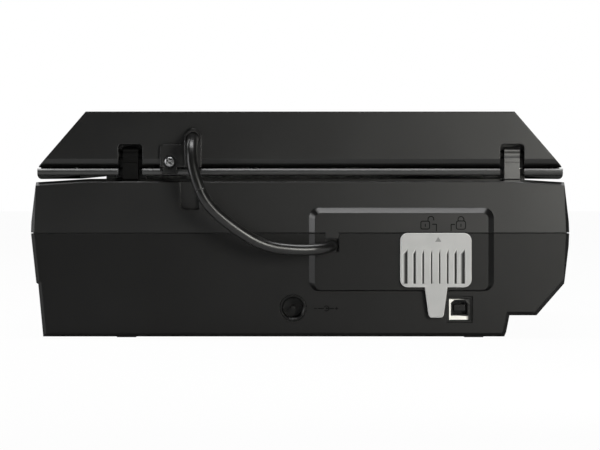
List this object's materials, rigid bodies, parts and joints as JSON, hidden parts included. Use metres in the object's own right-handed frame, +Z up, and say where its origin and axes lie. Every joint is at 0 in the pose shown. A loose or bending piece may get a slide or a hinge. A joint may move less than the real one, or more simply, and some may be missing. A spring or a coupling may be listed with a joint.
{
  "type": "photo scanner",
  "caption": "Flatbed photo scanner with a thick hinged lid that lights film, a sliding transport lock, a sensor carriage on a belt and rear cable.",
  "frame": {"origin": "middle of the footprint on the surface the feet stand on", "axes": "+Z up, +Y towards the hinged rear with the sockets, +X to the right seen from the front"},
  "size_m": [0.28, 0.5061, 0.118],
  "materials": {
    "case_plastic": "fine textured black plastic",
    "lid_plastic": "satin black plastic",
    "lock_grey": "smooth light grey plastic",
    "glass_clear": "clear flat glass",
    "foot_rubber": "soft black rubber",
    "cable_rubber": "glossy black cable sheath",
    "steel_bright": "plated steel",
    "steel_rod": "ground and polished steel",
    "board_green": "glass fibre board with solder mask",
    "white_plastic": "matte white plastic",
    "foam_white": "white foam back",
    "gloss_black": "gloss black bezel",
    "button_silver": "silver grey plastic",
    "lens_green": "clear green light guide",
    "diffuser": "milky acrylic",
    "gear_plastic": "natural acetal",
    "inner_plastic": "black glass filled plastic",
    "mirror_face": "front surface mirror",
    "bush_brass": "sintered bronze",
    "belt_rubber": "toothed rubber belt",
    "white_led": "white lamp bar"
  },
  "bodies": {
    "base": {"lower_case": "case_plastic", "upper_case": "case_plastic", "document_glass": "glass_clear", "calibration_strip": "white_plastic", "feet": "foot_rubber", "case_screws": "steel_bright", "front_bezel": "gloss_black", "status_lens": "lens_green", "control_board": "board_green", "main_board": "board_green", "usb_shell": "steel_bright", "usb_tongue": "inner_plastic", "dc_socket": "inner_plastic", "guide_rod": "steel_rod", "rod_clips": "inner_plastic", "slide_rail": "steel_bright", "drive_motor": "steel_bright", "motor_plate": "steel_bright", "belt": "belt_rubber", "idler_bracket": "steel_bright", "case_gland": "cable_rubber", "cover_cable_lower": "cable_rubber"},
    "posts": {"hinge_post_left": "case_plastic", "hinge_post_right": "case_plastic"},
    "lid": {"lid_shell": "lid_plastic", "lid_frame": "lid_plastic", "lid_screws": "steel_bright", "hinge_ears": "inner_plastic", "hinge_pins": "steel_rod", "light_window": "diffuser", "light_guide": "diffuser", "light_reflector": "white_plastic", "led_strips": "white_led", "lid_board": "board_green", "cable_cover": "lid_plastic", "cover_screw": "steel_bright", "lid_gland": "cable_rubber", "lid_bumpers": "foot_rubber", "cover_cable_upper": "cable_rubber"},
    "mat": {"document_mat": "white_plastic", "mat_back": "foam_white"},
    "lock": {"lock_slider": "lock_grey", "lock_hook": "inner_plastic"},
    "carriage": {"carriage_frame": "inner_plastic", "scan_lamp": "white_led", "mirrors": "mirror_face", "scan_lens": "inner_plastic", "ccd_board": "board_green", "rod_bush": "bush_brass", "belt_clip": "inner_plastic", "lock_fork": "inner_plastic"},
    "drive_gear": {"drive_gear": "gear_plastic"},
    "idler_pulley": {"idler_pulley": "gear_plastic"},
    "motor_pinion": {"motor_pinion": "gear_plastic"},
    "button_power": {"button_power": "button_silver"},
    "button_pdf": {"button_pdf": "button_silver"},
    "button_mail": {"button_mail": "button_silver"},
    "button_copy": {"button_copy": "button_silver"},
    "button_start": {"button_start": "button_silver"}
  },
  "joints": [
    {"name": "lid_lift", "type": "slide", "parent": "base", "child": "posts", "axis": [0, 0, 1], "range_m": [0, 0.02], "deforming": ["cover_cable_upper", "cover_cable_lower"]},
    {"name": "lid_hinge", "type": "hinge", "parent": "posts", "child": "lid", "pos_m": [0, 0.23, 0.0955], "axis": [-1, 0, 0], "range_deg": [0, 95], "deforming": ["cover_cable_upper", "cover_cable_lower"]},
    {"name": "mat_slide", "type": "slide", "parent": "lid", "child": "mat", "axis": [0, -1, 0], "range_m": [0, 0.01]},
    {"name": "lock_slide", "type": "slide", "parent": "base", "child": "lock", "axis": [-1, 0, 0], "range_m": [0, 0.0076]},
    {"name": "carriage_travel", "type": "slide", "parent": "base", "child": "carriage", "axis": [0, -1, 0], "range_m": [0, 0.38]},
    {"name": "drive_gear_turn", "type": "hinge", "parent": "base", "child": "drive_gear", "pos_m": [0.096, 0.205, 0.0205], "axis": [0, 0, 1], "range_deg": [-2479.1, 5]},
    {"name": "idler_turn", "type": "hinge", "parent": "base", "child": "idler_pulley", "pos_m": [0.096, -0.212, 0.0245], "axis": [0, 0, 1], "range_deg": [-2479.1, 5]},
    {"name": "pinion_turn", "type": "hinge", "parent": "base", "child": "motor_pinion", "pos_m": [0.078, 0.205, 0.0205], "axis": [0, 0, 1], "range_deg": [-5, 9901.5]},
    {"name": "button_power_press", "type": "slide", "parent": "base", "child": "button_power", "axis": [0, 0.9265, -0.3764], "range_m": [0, 0.0008], "stiffness_N_per_m": 600, "springref_m": -0.0006},
    {"name": "button_pdf_press", "type": "slide", "parent": "base", "child": "button_pdf", "axis": [0, 0.9265, -0.3764], "range_m": [0, 0.0008], "stiffness_N_per_m": 600, "springref_m": -0.0006},
    {"name": "button_mail_press", "type": "slide", "parent": "base", "child": "button_mail", "axis": [0, 0.9265, -0.3764], "range_m": [0, 0.0008], "stiffness_N_per_m": 600, "springref_m": -0.0006},
    {"name": "button_copy_press", "type": "slide", "parent": "base", "child": "button_copy", "axis": [0, 0.9265, -0.3764], "range_m": [0, 0.0008], "stiffness_N_per_m": 600, "springref_m": -0.0006},
    {"name": "button_start_press", "type": "slide", "parent": "base", "child": "button_start", "axis": [0, 0.9265, -0.3764], "range_m": [0, 0.0008], "stiffness_N_per_m": 600, "springref_m": -0.0006}
  ],
  "couplings": [
    {"joint": "drive_gear_turn", "follows": "carriage_travel", "rad_per_m": -113.64},
    {"joint": "idler_turn", "follows": "carriage_travel", "rad_per_m": -113.64},
    {"joint": "pinion_turn", "follows": "carriage_travel", "rad_per_m": 454.55}
  ]
}
